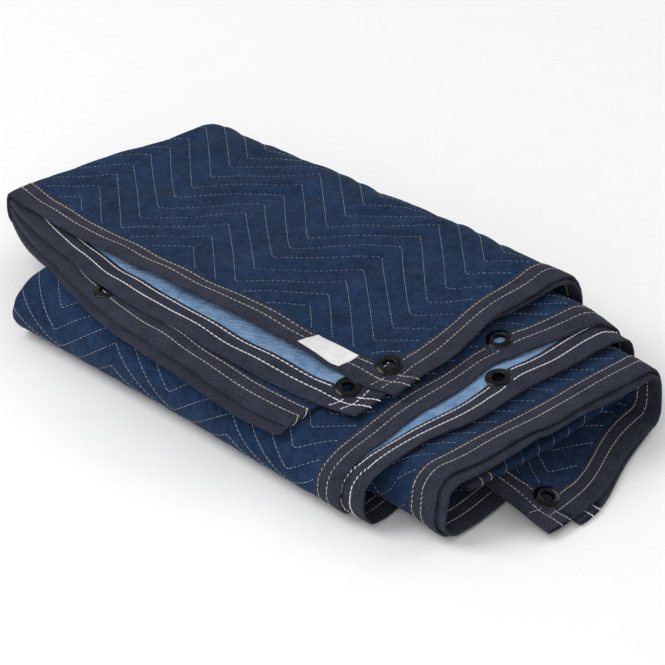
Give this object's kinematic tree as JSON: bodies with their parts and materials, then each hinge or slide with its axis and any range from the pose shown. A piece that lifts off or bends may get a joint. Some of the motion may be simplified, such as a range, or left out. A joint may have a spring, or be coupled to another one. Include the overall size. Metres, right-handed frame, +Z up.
{
  "type": "folded sound dampening blanket",
  "caption": "Quilted sound dampening blanket with bound edges and eyelets, folded in quarters and rolled flat into a pile that lies on a surface.",
  "frame": {"origin": "centre of the folded blanket's box, on the surface that it lies on", "axes": "+X along the folded strip, to the right where the bound ends show; +Y from the free end at the front to the back; +Z up"},
  "size_m": [0.708, 0.3534, 0.1079],
  "materials": {
    "quilted_cloth": "matt woven cloth, navy on one face and light blue on the other, quilted with white thread",
    "binding_tape": "matt woven tape in charcoal with two rows of thread",
    "eyelet_enamel": "gloss black enamel",
    "label_cloth": "smooth white tape"
  },
  "bodies": {
    "root": {"panel": "quilted_cloth", "binding_outer_end": "binding_tape", "binding_inner_end": "binding_tape", "binding_top_side": "binding_tape", "binding_second_side": "binding_tape", "eyelet_top_corner": "eyelet_enamel", "eyelet_second_corner": "eyelet_enamel", "eyelet_outer_end": "eyelet_enamel", "eyelet_top_side": "eyelet_enamel", "eyelet_second_side": "eyelet_enamel", "eyelet_inner_second": "eyelet_enamel", "eyelet_inner_top": "eyelet_enamel", "label": "label_cloth"}
  },
  "joints": []
}
